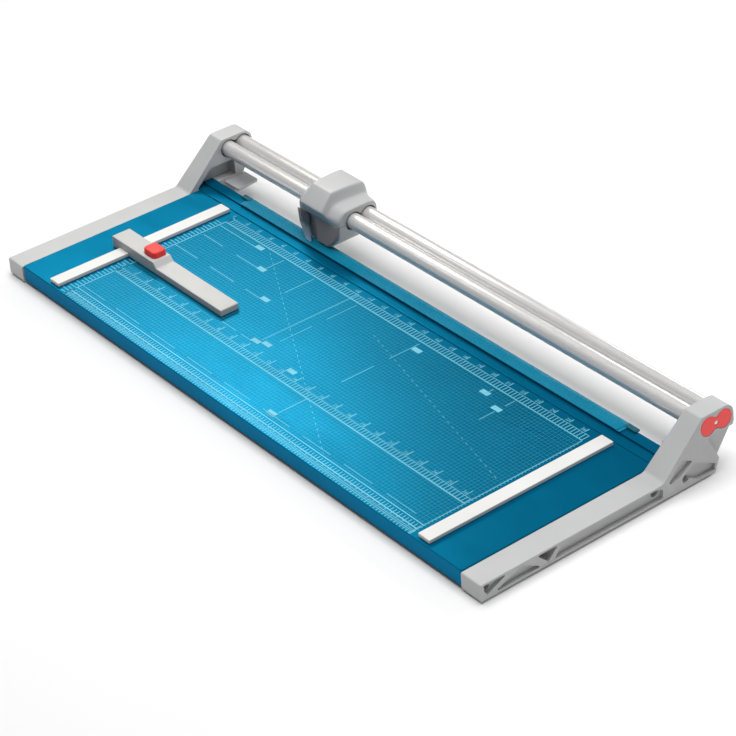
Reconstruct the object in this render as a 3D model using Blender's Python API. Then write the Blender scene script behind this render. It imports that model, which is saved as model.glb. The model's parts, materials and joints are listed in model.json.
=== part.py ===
"""Rotary paper trimmer: a ruled table between two end frames, twin guide tubes and a sliding cutter head.

Lengths are in millimetres here and become metres where vertices are made. X runs along the guide tubes,
Y from the front edge to the back, Z up. The origin is on the floor, under the middle of the whole object;
DATUM_Y moves the figures below, which have their front edge at -180, to that origin.
"""

from math import atan2, cos, hypot, pi, sin, sqrt, tan

import bmesh
import bpy
from mathutils import Vector

MM = 0.001
GAP = 0.3  # between two pieces that touch
RUNNING = 0.08  # radial clearance of a sliding or turning fit

# Overall size
LENGTH = 915.0
DEPTH = 362.0
FRONT = -180.0
BACK = FRONT + DEPTH
DATUM_Y = -(FRONT + BACK) / 2

# End frames
FRAME_OUT = LENGTH / 2
FRAME_IN = FRAME_OUT - 31.5
FRAME_BASE = 2.2
BAR_TOP = 23.5
BLOCK_TOP = 79.2
INNER_DRAFT = 0.04  # how far the arm's inner face leans outwards, per unit of height
OUTER_DRAFT = 0.0545  # and its outer face inwards
POCKET = 4.5  # depth of the moulded pockets in the outer side
DEEP_POCKET = 20.0
REAR_RECESS = 5.0  # the step that narrows the neck behind the arm
SCREW_SEAT_X = FRAME_OUT - 17.0
FRAME_SCREWS = ((-170.5, 15.0), (66.0, 15.0), (108.5, 15.0))
HOLLOW = 14.0  # depth of the hollow in the arm's inner side, which takes the end of the rear bar

# Guide tubes
RAIL_Y = 144.6
RAIL_PITCH = 22.8
RAIL_Z = 64.2
RAIL_MID = RAIL_Y + RAIL_PITCH / 2
TUBE_R = 10.6
TUBE_BORE_R = 9.0
TUBE_END = FRAME_OUT - 10.0
PLUG_R = 11.5
PLUG_FACE = FRAME_OUT - 1.9
PLUG_FLOOR = PLUG_FACE - 3.6
WAIST_R = 5.0  # fillet between the two lobes of every figure-eight outline

# Table
TABLE_TOP = 24.9
TABLE_BASE = 4.0
TABLE_HALF = FRAME_IN - 0.4
TABLE_FRONT = FRONT + 1.0
TABLE_BACK = 90.7
SHEET = 1.5
BAR_FRONT = TABLE_BACK + 0.4
BAR_BACK = 121.8
BAR_HALF = FRAME_IN - 0.8
BAR_BASE = 9.0
TONGUE = 3.4  # thickness of the bar's ends, which reach into the frames
GROOVE = (101.0, 106.7, 2.0)  # front, back and depth of the groove before the cutting edge
PORT_Y = 108.5
STIFFENERS = {"front_stiffener": -110.0, "rear_stiffener": -10.0}

# Cutting edge and clamp strip
CUT_HALF = 359.0
EDGE_FRONT = BAR_BACK + GAP
EDGE_BACK = EDGE_FRONT + 4.2
STRIP_HALF = 356.0
STRIP_Y = (105.9, 124.5)
STRIP_Z = (25.9, 27.6)
LIFT_SPRING_X = 349.0
LIFT_SPRING_Y = 109.2

# Side stops and backstop
STOP_IN = 349.6
STOP_OUT = 368.6
STOP_Y = (-174.0, 86.0)
STOP_Z = (TABLE_TOP + GAP, 29.8)
STOP_SCREW_Y = (-150.0, 60.0)
ARM_Y = -57.0
ARM_WIDTH = 26.6
ARM_X = (-384.5, -151.0)
ARM_HEAD_TOP = 40.5
ARM_BLADE_TOP = 33.8
ARM_STEP_X = -291.0
BUTTON_X = -310.0
BUTTON_Y = ARM_Y + 1.8
BUTTON_SIZE = (25.0, 19.5)
BUTTON_Z = (36.0, 48.0)

# Cutter head
HEAD_X = -204.5
HEAD_HALF = 41.0
HOOD_BACK = 181.7
SPLIT_Z = 62.5  # where the hood meets the blade housing
HOUSING_BASE = 28.9
GUARD_SIDE = -11.5  # left of the head's middle, where the housing's front corner is cut back
PAD = ((HEAD_X - 3.0, HEAD_X + 16.0), (119.0, 122.0), (28.1, 31.8))
TUNNEL_R = 12.4
DISC_R = 28.0
DISC_Z = 50.6
DISC_Y = (EDGE_BACK + GAP, EDGE_BACK + GAP + 1.4)
AXLE_R = 3.0

COLORS = {
    "frame_grey": ((0.66, 0.67, 0.67, 1), 0.45, 0.0),
    "table_blue": ((0.01, 0.22, 0.38, 1), 0.35, 0.0),
    "ivory": ((0.86, 0.85, 0.80, 1), 0.45, 0.0),
    "backstop_grey": ((0.70, 0.70, 0.67, 1), 0.45, 0.0),
    "signal_red": ((0.80, 0.06, 0.05, 1), 0.35, 0.0),
    "housing_grey": ((0.10, 0.10, 0.11, 1), 0.5, 0.0),
    "bright_tube": ((0.80, 0.80, 0.82, 1), 0.15, 1.0),
    "blade_steel": ((0.55, 0.56, 0.58, 1), 0.25, 1.0),
    "zinc_steel": ((0.50, 0.51, 0.53, 1), 0.4, 1.0),
    "clear_plastic": ((0.62, 0.80, 0.85, 0.35), 0.1, 0.0),
    "black_plastic": ((0.02, 0.02, 0.02, 1), 0.5, 0.0),
    "rubber": ((0.015, 0.015, 0.015, 1), 0.8, 0.0),
}


def clear_scene():
    for obj in list(bpy.data.objects):
        bpy.data.objects.remove(obj, do_unlink=True)


def paint(name):
    """The named Principled material, made on first use."""
    if name in bpy.data.materials:
        return bpy.data.materials[name]
    color, roughness, metallic = COLORS[name]
    mat = bpy.data.materials.new(name)
    mat.use_nodes = True
    shader = mat.node_tree.nodes["Principled BSDF"]
    shader.inputs["Base Color"].default_value = color
    shader.inputs["Roughness"].default_value = roughness
    shader.inputs["Metallic"].default_value = metallic
    shader.inputs["Alpha"].default_value = color[3]
    return mat


# Outlines, as lists of (u, v)


def fillet(corners, steps=3):
    """An outline through (u, v, radius) corners, each rounded by an arc of its radius."""
    outline = []
    for index, (u, v, radius) in enumerate(corners):
        here = Vector((u, v))
        if radius == 0:
            outline.append((u, v))
            continue
        before = (Vector(corners[index - 1][:2]) - here).normalized()
        after = (Vector(corners[(index + 1) % len(corners)][:2]) - here).normalized()
        half = before.angle(after) / 2
        centre = here + (before + after).normalized() * (radius / sin(half))
        start = here + before * (radius / tan(half)) - centre
        end = here + after * (radius / tan(half)) - centre
        first = atan2(start.y, start.x)
        sweep = (atan2(end.y, end.x) - first + pi) % (2 * pi) - pi
        for step in range(steps + 1):
            angle = first + sweep * step / steps
            outline.append((centre.x + radius * cos(angle), centre.y + radius * sin(angle)))
    return outline


def arc(u, v, radius, first, last, steps):
    turn = (last - first) / steps
    return [(u + radius * cos(first + turn * i), v + radius * sin(first + turn * i)) for i in range(steps + 1)]


def figure_eight(radius, steps=12):
    """Two lobes round the guide tubes, as (y, z), with a filleted waist between them."""
    half = RAIL_PITCH / 2
    rise = sqrt((radius + WAIST_R) ** 2 - half**2)
    lean = atan2(rise, half)
    waist_steps = 3
    right = arc(RAIL_MID + half, RAIL_Z, radius, lean - pi, pi - lean, steps)
    top = arc(RAIL_MID, RAIL_Z + rise, WAIST_R, -lean, lean - pi, waist_steps)
    left = arc(RAIL_MID - half, RAIL_Z, radius, lean, 2 * pi - lean, steps)
    bottom = arc(RAIL_MID, RAIL_Z - rise, WAIST_R, pi - lean, lean, waist_steps)
    return right + top[1:-1] + left + bottom[1:-1]


def rectangle(u, v, radius=0.0, steps=4):
    """A rectangle over the ranges u and v, with rounded corners."""
    corners = [(u[0], v[0], radius), (u[1], v[0], radius), (u[1], v[1], radius), (u[0], v[1], radius)]
    return fillet(corners, steps)


# Solids


def finish(name, bm, color, smooth_angle=0.6):
    """An object from a bmesh in millimetres, with its faces turned outwards."""
    bmesh.ops.translate(bm, vec=(0, DATUM_Y, 0), verts=bm.verts)
    bmesh.ops.scale(bm, vec=(MM, MM, MM), verts=bm.verts)
    bmesh.ops.remove_doubles(bm, verts=bm.verts, dist=1e-6)
    bmesh.ops.recalc_face_normals(bm, faces=bm.faces)
    mesh = bpy.data.meshes.new(name)
    bm.to_mesh(mesh)
    bm.free()
    mesh.shade_smooth()
    mesh.set_sharp_from_angle(angle=smooth_angle)
    mesh.materials.append(paint(color))
    obj = bpy.data.objects.new(name, mesh)
    bpy.context.scene.collection.objects.link(obj)
    return obj


def loft(name, sections, color):
    """A solid through closed rings of equally many points, capped at both ends."""
    bm = bmesh.new()
    rings = [[bm.verts.new(point) for point in section] for section in sections]
    for low, high in zip(rings, rings[1:]):
        for i in range(len(low)):
            j = (i + 1) % len(low)
            bm.faces.new((low[i], low[j], high[j], high[i]))
    bm.faces.new(rings[0][::-1])
    bm.faces.new(rings[-1])
    return finish(name, bm, color)


def prism(name, outline, axis, span, color):
    """A solid of constant outline: (y, z) along X, (x, z) along Y or (x, y) along Z."""
    place = {
        "X": lambda t, u, v: (t, u, v),
        "Y": lambda t, u, v: (u, t, v),
        "Z": lambda t, u, v: (u, v, t),
    }[axis]
    return loft(name, [[place(t, u, v) for u, v in outline] for t in span], color)


def box(name, x, y, z, color, round_x=0.0):
    """A block, or a bar along X whose long edges are rounded by round_x."""
    return prism(name, rectangle(y, z, round_x), "X", x, color)


def turned(name, profile, origin, axis, color, segments=24, hollow=False):
    """A turned solid from (radius, distance along the axis); hollow joins the last ring to the first."""
    along = {"X": (1, 0, 0), "Y": (0, 1, 0), "Z": (0, 0, 1)}[axis]
    side = {"X": (0, 1, 0), "Y": (0, 0, 1), "Z": (1, 0, 0)}[axis]
    along, side, origin = Vector(along), Vector(side), Vector(origin)
    up = along.cross(side)
    bm = bmesh.new()
    rings = []
    for radius, distance in profile:
        ring = []
        for i in range(segments):
            angle = 2 * pi * (i + 0.5) / segments
            offset = side * (radius * cos(angle)) + up * (radius * sin(angle))
            ring.append(bm.verts.new(origin + along * distance + offset))
        rings.append(ring)
    pairs = list(zip(rings, rings[1:])) + ([(rings[-1], rings[0])] if hollow else [])
    for low, high in pairs:
        for i in range(segments):
            j = (i + 1) % segments
            bm.faces.new((low[i], low[j], high[j], high[i]))
    if not hollow:
        bm.faces.new(rings[0][::-1])
        bm.faces.new(rings[-1])
    return finish(name, bm, color)


def rod(name, origin, axis, radius, span, color="zinc_steel", segments=24):
    return turned(name, [(radius, span[0]), (radius, span[1])], origin, axis, color, segments)


def coil(name, centre, z, radius, wire, turns, color="zinc_steel"):
    """A compression spring standing along Z, its wire following a helix."""
    steps_per_turn, sides = 10, 5
    count = turns * steps_per_turn
    rise = (z[1] - z[0] - 2 * wire) / count
    sections = []
    for i in range(count + 1):
        angle = 2 * pi * i / steps_per_turn
        outward = Vector((cos(angle), sin(angle), 0))
        heart = Vector((centre[0], centre[1], z[0] + wire + rise * i)) + outward * radius
        ring = []
        for k in range(sides):
            turn = 2 * pi * k / sides
            ring.append(heart + outward * (wire * cos(turn)) + Vector((0, 0, wire * sin(turn))))
        sections.append(ring)
    return loft(name, sections, color)


def rounded(obj, width, segments=2, angle=0.6):
    """Rounds the edges that turn by more than the angle."""
    bevel = obj.modifiers.new("edge_rounding", "BEVEL")
    bevel.width = width * MM
    bevel.segments = segments
    bevel.limit_method = "ANGLE"
    bevel.angle_limit = angle
    return obj


def combine(obj, operation, others):
    """Adds a Boolean with each of the others, which stay as hidden wire guides."""
    for other in others:
        other.hide_render = True
        other.display_type = "WIRE"
        modifier = obj.modifiers.new(other.name, "BOOLEAN")
        modifier.operation = operation
        modifier.solver = "EXACT"
        modifier.object = other
    return obj


def carve(obj, *cutters):
    return combine(obj, "DIFFERENCE", cutters)


def weld(obj, *others):
    return combine(obj, "UNION", others)


def screw(name, origin, axis, length, head_r=3.2, head=1.8, shank_r=1.5, point_to=1):
    """A pan-head screw: its head stands at the origin and its shank points along the axis."""
    s = point_to
    profile = [(head_r * 0.55, 0), (head_r, s * head * 0.35), (head_r, s * head), (shank_r, s * head)]
    profile += [(shank_r, s * (length - shank_r * 0.6)), (shank_r * 0.5, s * length)]
    return turned(name, profile, origin, axis, "zinc_steel", 12)


# End frames


def frame_outline():
    """Side view of an end frame as (y, z): a flat bar, a raked arm and a block round the tubes."""
    corners = [
        (FRONT, FRAME_BASE, 1.5),
        (152.0, FRAME_BASE, 3.0),
        (159.0, 19.5, 8.0),
        (175.0, 43.5, 10.0),
        (BACK, 54.5, 7.0),
        (BACK, BLOCK_TOP, 12.0),
        (135.5, BLOCK_TOP, 6.0),
        (75.8, BAR_TOP, 10.0),
        (FRONT, BAR_TOP, 2.0),
    ]
    return fillet(corners)


def frame_pockets():
    """The moulded pockets of the outer side, as (outline, depth)."""
    top, base, r = BAR_TOP - 2.6, FRAME_BASE + 3.4, 1.2
    shallow = [
        [(-176.5, top, r), (-171.5, base + 2, r), (-143.0, top, r)],
        [(-163.0, base, r), (-97.0, base, r), (-124.0, top, 3.0)],
        [(-68.0, top, r), (-80.0, base, r), (75.0, base, r), (75.0, top - 3, 3.0), (66.0, top, r)],
        [(102.0, 41.5, 1.5), (119.5, 33.0, 1.5), (99.0, 20.5, 2.0), (81.5, 17.0, 2.0)],
        [(122.5, 29.6, r), (153.0, 13.5, r), (152.0, base, 2.0), (128.0, base, 2.0), (103.5, 17.6, 2.0)],
    ]
    deep = [
        [(-103.0, top, r), (-88.0, base + 1, r), (-74.0, top, r)],
    ]
    recess = [[(142.0, 51.0, 3.0), (190.0, 51.5, 0), (190.0, 8.0, 0), (160.5, 14.0, 0)]]
    groups = ((shallow, POCKET), (deep, DEEP_POCKET), (recess, REAR_RECESS))
    return [(fillet(outline, 3), depth) for outlines, depth in groups for outline in outlines]


def end_frame(name, side):
    """One end frame; side is -1 on the left and 1 on the right."""
    solid = prism(name, frame_outline(), "X", (side * FRAME_IN, side * FRAME_OUT), "frame_grey")
    bm = bmesh.new()
    bm.from_mesh(solid.data)
    geometry = bm.verts[:] + bm.edges[:] + bm.faces[:]
    bmesh.ops.bisect_plane(bm, geom=geometry, plane_co=(0, 0, BAR_TOP * MM), plane_no=(0, 0, 1), dist=1e-7)
    for vertex in bm.verts:
        inner = abs(abs(vertex.co.x) - FRAME_IN * MM) < 1e-5
        vertex.co.x += side * (INNER_DRAFT if inner else -OUTER_DRAFT) * max(0.0, vertex.co.z - BAR_TOP * MM)
    bm.to_mesh(solid.data)
    bm.free()
    rounded(solid, 0.9)
    lug_x = (side * (FRAME_IN + 3), side * (FRAME_IN - 27))
    lug = prism(name + "_lug_shape", lug_outline(side), "Z", (18.4, 21.7), "frame_grey")
    cutters = []
    for index, (outline, depth) in enumerate(frame_pockets()):
        span = (side * (FRAME_OUT - depth), side * (FRAME_OUT + 1))
        cutters.append(prism(f"{name}_pocket_{index}", outline, "X", span, "frame_grey"))
    hollow = (side * (FRAME_IN - 1), side * (FRAME_IN + HOLLOW + GAP))
    floor = TABLE_TOP + GAP
    rim = fillet([(88.5, floor, 0), (112.5, 47.5, 3.0), (150.0, 47.5, 3.0), (150.0, floor, 1.0)], 3)
    cutters.append(prism(name + "_hollow", rim, "X", hollow, "frame_grey"))
    slot_z = (TABLE_TOP - TONGUE - GAP, floor + 0.1)
    cutters.append(box(name + "_bar_slot", hollow, (BAR_FRONT - GAP, BAR_BACK + GAP), slot_z, "frame_grey"))
    relief = (side * (FRAME_IN - 1), side * (FRAME_IN + 13.5))
    cutters.append(prism(name + "_rail_relief", figure_eight(TUNNEL_R), "X", relief, "frame_grey"))
    for index in range(2):
        origin = (0, RAIL_Y + RAIL_PITCH * index, RAIL_Z)
        span = (side * (FRAME_IN - 1), side * (TUBE_END + 0.5))
        cutters.append(rod(f"{name}_bore_{index}", origin, "X", TUBE_R + GAP, span, segments=48))
    plug_span = (side * PLUG_FLOOR, side * (FRAME_OUT + 1))
    cutters.append(prism(name + "_plug_seat", figure_eight(PLUG_R + GAP), "X", plug_span, "frame_grey"))
    hole = (side * (TUBE_END + 0.7), side * FRAME_OUT)
    cutters.append(rod(name + "_plug_hole", (0, RAIL_MID, RAIL_Z), "X", 1.8, hole))
    for index, (y, z) in enumerate(FRAME_SCREWS):
        seat = (side * SCREW_SEAT_X, side * (FRAME_OUT + 1))
        through = (side * (FRAME_IN - 1), side * (SCREW_SEAT_X + 1))
        cutters.append(rod(f"{name}_seat_{index}", (0, y, z), "X", 5.0, seat))
        cutters.append(rod(f"{name}_through_{index}", (0, y, z), "X", 2.4, through))
    for index, y in enumerate(FOOT_Y):
        origin = (side * FOOT_X, y, 0)
        cutters.append(rod(f"{name}_foot_hole_{index}", origin, "Z", 3.3, (FRAME_BASE - 1, 8.0)))
    weld(solid, lug)
    return carve(solid, *cutters)


def lug_outline(side):
    """The flat lug behind the table, as (x, y), that stiffens the foot of an end frame."""
    root = FRAME_IN + 3.0
    corners = [(root, 131.5, 0), (395.0, 131.5, 2.0), (399.5, 165.5, 2.0), (root, 165.5, 0)]
    return fillet([(side * x, y, r) for x, y, r in corners], 3)


FOOT_X = (FRAME_IN + FRAME_OUT) / 2
FOOT_Y = (-160.0, 138.0)


def feet():
    for name, side, y in (
        ("foot_front_left", -1, FOOT_Y[0]),
        ("foot_front_right", 1, FOOT_Y[0]),
        ("foot_rear_left", -1, FOOT_Y[1]),
        ("foot_rear_right", 1, FOOT_Y[1]),
    ):
        profile = [(8.2, 0), (9.0, 0.8), (9.0, FRAME_BASE - GAP), (3.0, FRAME_BASE - GAP), (3.0, 7.4)]
        turned(name, profile, (side * FOOT_X, y, 0), "Z", "rubber", 24)


def frame_screws(label, side):
    """Cap screws from the frame's outer pockets into the table's flange and the rear bar's port."""
    for place, (y, z) in zip(("front", "middle", "rear"), FRAME_SCREWS):
        origin = (side * (SCREW_SEAT_X + 4.4), y, z)
        name = f"{label}_{place}_frame_screw"
        bolt = screw(name, origin, "X", 26.0, head_r=4.0, head=4.0, shank_r=2.0, point_to=-side)
        depth = (origin[0] - side * 2, origin[0] + side)
        socket = prism(name + "_hex", hexagon(y, z, 2.0), "X", depth, "zinc_steel")
        carve(bolt, socket)


def hexagon(u, v, radius):
    return [(u + radius * cos(pi * i / 3), v + radius * sin(pi * i / 3)) for i in range(6)]


def end_plug(label, side):
    """A figure-eight cover over the tube ends, held by one screw in its waist."""
    face = PLUG_FACE
    span = (side * (PLUG_FLOOR + GAP), side * face)
    plug = rounded(prism(label + "_end_plug", figure_eight(PLUG_R), "X", span, "signal_red"), 0.6)
    origin = (0, RAIL_MID, RAIL_Z)
    seat = rod(label + "_plug_seat_hole", origin, "X", 2.9, (side * (face - 1.6), side * (face + 1)))
    hole = rod(label + "_plug_shank_hole", origin, "X", 1.8, (side * (face - 5), side * face))
    carve(plug, seat, hole)
    head = (side * (face - 0.1), RAIL_MID, RAIL_Z)
    screw(label + "_plug_screw", head, "X", 6.8, head_r=2.6, head=1.3, shank_r=1.5, point_to=-side)


def guide_tubes():
    profile = [(TUBE_R, -TUBE_END), (TUBE_R, TUBE_END), (TUBE_BORE_R, TUBE_END), (TUBE_BORE_R, -TUBE_END)]
    for name, y in (("front_guide_tube", RAIL_Y), ("rear_guide_tube", RAIL_Y + RAIL_PITCH)):
        turned(name, profile, (0, y, RAIL_Z), "X", "bright_tube", 48, hollow=True)


# Table


def table():
    """The painted sheet: a flat top with folded walls, open below."""
    corners = [
        (-TABLE_HALF, TABLE_FRONT, 3.0),
        (TABLE_HALF, TABLE_FRONT, 3.0),
        (TABLE_HALF, TABLE_BACK, 0),
        (-TABLE_HALF, TABLE_BACK, 0),
    ]
    sheet = rounded(prism("table", fillet(corners), "Z", (TABLE_BASE, TABLE_TOP), "table_blue"), 1.2, 3)
    inner_x = (-TABLE_HALF + SHEET, TABLE_HALF - SHEET)
    inner_y = (TABLE_FRONT + SHEET, TABLE_BACK - SHEET)
    cutters = [box("table_hollow", inner_x, inner_y, (TABLE_BASE - 3, TABLE_TOP - SHEET), "table_blue")]
    for index, (y, z) in enumerate(FRAME_SCREWS[:2]):
        span = (-TABLE_HALF - 2, TABLE_HALF + 2)
        cutters.append(rod(f"table_flange_hole_{index}", (0, y, z), "X", 2.3, span, segments=12))
    for index, (x, y) in enumerate(stop_screw_places()):
        span = (TABLE_TOP - SHEET - 1, TABLE_TOP + 1)
        cutters.append(rod(f"table_stop_hole_{index}", (x, y, 0), "Z", 1.8, span, segments=12))
    carve(sheet, *cutters)


def stiffeners():
    """Two hat-section channels that carry the sheet."""
    roof = TABLE_TOP - SHEET - GAP
    wall, low, half = 1.5, 10.0, 22.0
    for name, y in STIFFENERS.items():
        outer = [(-half, roof), (-half, roof - wall), (-12, roof - wall), (-8, low), (8, low), (12, roof - wall)]
        inner = [(half, roof - wall), (half, roof), (11, roof), (7, low + wall), (-7, low + wall), (-11, roof)]
        outline = [(y + u, z) for u, z in outer + inner]
        prism(name, outline, "X", (-TABLE_HALF + 4, TABLE_HALF - 4), "zinc_steel")


def rear_bar():
    """The extruded bar behind the sheet: it carries the cutting edge and takes the rear frame screws."""
    roof, wall = TABLE_TOP - 4.0, 4.8
    front, back, depth = GROOVE
    outline = [
        (BAR_FRONT, BAR_BASE),
        (BAR_FRONT + 3, BAR_BASE),
        (BAR_FRONT + 3, roof),
        (PORT_Y - 4.5, roof),
        (PORT_Y - 4.5, BAR_BASE + 2),
        (PORT_Y + 4.5, BAR_BASE + 2),
        (PORT_Y + 4.5, roof),
        (BAR_BACK - wall, roof),
        (BAR_BACK - wall, BAR_BASE),
        (BAR_BACK, BAR_BASE),
        (BAR_BACK, TABLE_TOP),
        (back, TABLE_TOP),
        (back, TABLE_TOP - depth),
        (front, TABLE_TOP - depth),
        (front, TABLE_TOP),
        (BAR_FRONT + 0.8, TABLE_TOP),
        (BAR_FRONT, TABLE_TOP - 0.8),
    ]
    reach = FRAME_IN + HOLLOW
    bar = prism("rear_bar", outline, "X", (-reach, reach), "table_blue")
    cutters = []
    y, z = FRAME_SCREWS[2]
    for side in (-1, 1):
        end = (side * BAR_HALF, side * (reach + 1))
        under = (BAR_BASE - 1, TABLE_TOP - TONGUE)
        cutters.append(box(f"rear_bar_step_{side}", end, (BAR_FRONT - 1, BAR_BACK + 1), under, "table_blue"))
        port = (side * (BAR_HALF - 24), side * (BAR_HALF + 2))
        cutters.append(rod(f"rear_bar_port_{side}", (0, y, z), "X", 2.3, port, segments=12))
        well = (side * LIFT_SPRING_X, LIFT_SPRING_Y, 0)
        cutters.append(rod(f"rear_bar_well_{side}", well, "Z", 2.5, (15.5, TABLE_TOP + 1)))
    for index, x in enumerate(EDGE_SCREW_X):
        span = (BAR_BACK - wall - 1, BAR_BACK + 1)
        cutters.append(rod(f"rear_bar_edge_hole_{index}", (x, 0, EDGE_SCREW_Z), "Y", 1.9, span, segments=12))
    carve(bar, *cutters)


EDGE_SCREW_X = (-300.0, -150.0, 0.0, 150.0, 300.0)
EDGE_SCREW_Z = 16.5


def lower_blade():
    """The fixed blade: a ground strip on the rear bar, screwed on from inside the bar."""
    span = (-CUT_HALF, CUT_HALF)
    blade = box("lower_blade", span, (EDGE_FRONT, EDGE_BACK), (12.0, TABLE_TOP + 0.1), "blade_steel")
    cutters = []
    for index, x in enumerate(EDGE_SCREW_X):
        hole = (EDGE_FRONT - 1, EDGE_BACK - 0.6)
        cutters.append(rod(f"lower_blade_hole_{index}", (x, 0, EDGE_SCREW_Z), "Y", 1.8, hole, segments=12))
        origin = (x, BAR_BACK - 4.8 - GAP - 1.8, EDGE_SCREW_Z)
        screw(f"lower_blade_screw_{index + 1}", origin, "Y", 8.6)
    carve(blade, *cutters)


def clamp_strip():
    """The clear strip that holds paper down; its thinned ends hang in two clips on light springs."""
    outline = rectangle(STRIP_Y, STRIP_Z, 0.5, 3)
    strip = prism("clamp_strip", outline, "X", (-STRIP_HALF, STRIP_HALF), "clear_plastic")
    thin, wall, near, far = STRIP_HALF - 4.5, STRIP_HALF + 0.5, STRIP_HALF - 4.0, STRIP_HALF + 13.0
    step, lip, top, base = 26.6, 26.9, 27.7, TABLE_TOP + 0.2
    rebates = []
    for label, side in (("left", -1), ("right", 1)):
        rebate_x = (side * thin, side * (STRIP_HALF + 1))
        rebates.append(box(f"strip_rebate_{label}", rebate_x, (104.0, 126.0), (step, 29.0), "clear_plastic"))
        outline = [(near, lip), (wall, lip), (wall, base), (far, base), (far, top - 0.8), (far - 0.8, top)]
        outline = [(side * x, z) for x, z in outline + [(near, top)]]
        prism(f"clamp_clip_{label}", outline, "Y", (117.5, STRIP_Y[1]), "zinc_steel")
        centre = (side * LIFT_SPRING_X, LIFT_SPRING_Y)
        coil(f"lift_spring_{label}", centre, (15.8, STRIP_Z[0] - 0.2), 1.7, 0.3, 5)
    carve(strip, *rebates)


# Side stops and backstop


def stop_screw_places():
    middle = (STOP_IN + STOP_OUT) / 2
    return [(side * middle, y) for side in (-1, 1) for y in STOP_SCREW_Y]


def side_stops():
    for name, side in (("left_stop_bar", -1), ("right_stop_bar", 1)):
        x = sorted((side * STOP_IN, side * STOP_OUT))
        bar = rounded(prism(name, rectangle(x, STOP_Y, 1.0, 3), "Z", STOP_Z, "ivory"), 0.5)
        middle = (STOP_IN + STOP_OUT) / 2
        cutters = []
        for y in STOP_SCREW_Y:
            place = (side * middle, y, 0)
            cutters.append(rod(f"{name}_hole_{y}", place, "Z", 1.8, (STOP_Z[0] - 1, 28.6), segments=12))
        carve(bar, *cutters)
    labels = ("left_front", "left_rear", "right_front", "right_rear")
    for label, (x, y) in zip(labels, stop_screw_places()):
        origin = (x, y, TABLE_TOP - SHEET - GAP - 1.8)
        screw(f"stop_screw_{label}", origin, "Z", 6.6)


def backstop():
    """The arm that slides on the left stop bar, with its release button, spring and shoe."""
    y = (ARM_Y - ARM_WIDTH / 2, ARM_Y + ARM_WIDTH / 2)
    base = TABLE_TOP + 0.4
    corners = [
        (ARM_X[0], base, 0),
        (ARM_X[1], base, 0),
        (ARM_X[1], ARM_BLADE_TOP, 1.5),
        (ARM_STEP_X + 3.5, ARM_BLADE_TOP, 2.0),
        (ARM_STEP_X - 2.5, ARM_HEAD_TOP, 2.0),
        (ARM_X[0], ARM_HEAD_TOP, 1.5),
    ]
    arm = rounded(prism("backstop_arm", fillet(corners), "Y", y, "backstop_grey"), 0.7)
    channel_x = (-STOP_OUT - 0.4, -STOP_IN + 0.4)
    channel_z = (base - 2, STOP_Z[1] + 0.4)
    channel = box("backstop_channel", channel_x, (y[0] - 2, y[1] + 2), channel_z, "black_plastic")
    well = prism("backstop_button_well", button_outline(0.4), "Z", (30.0, ARM_HEAD_TOP + 2), "black_plastic")
    shoe_x = (-365.0, -353.0)
    shoe_y = (ARM_Y - 7, ARM_Y + 7)
    pocket = box(
        "backstop_shoe_pocket",
        (shoe_x[0] - GAP, shoe_x[1] + GAP),
        (shoe_y[0] - GAP, shoe_y[1] + GAP),
        (base - 1, 34.6),
        "black_plastic",
    )
    carve(arm, channel, well, pocket)
    box("backstop_shoe", shoe_x, shoe_y, (STOP_Z[1] + 0.3, 34.2), "rubber", 0.6)
    rounded(prism("release_button", button_outline(0), "Z", BUTTON_Z, "signal_red"), 1.6, 3, 1.0)
    coil("button_spring", (BUTTON_X, BUTTON_Y), (30.2, BUTTON_Z[0] - 0.2), 5.0, 0.4, 3)


def button_outline(grow):
    """The button's plan, grown all round by an amount."""
    half_x, half_y = BUTTON_SIZE[0] / 2 + grow, BUTTON_SIZE[1] / 2 + grow
    return rectangle((BUTTON_X - half_x, BUTTON_X + half_x), (BUTTON_Y - half_y, BUTTON_Y + half_y), 5.0 + grow, 5)


# Cutter head


def mirrored_sections(table_of_sections):
    """Hood sections as (x, y, z) rings for each half-width, from the left end to the right end."""
    widths = sorted(table_of_sections)
    places = [-w for w in reversed(widths)] + widths
    rings = []
    for place in places:
        rings.append([(HEAD_X + place, y, z) for y, z in table_of_sections[abs(place)]])
    return rings


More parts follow.
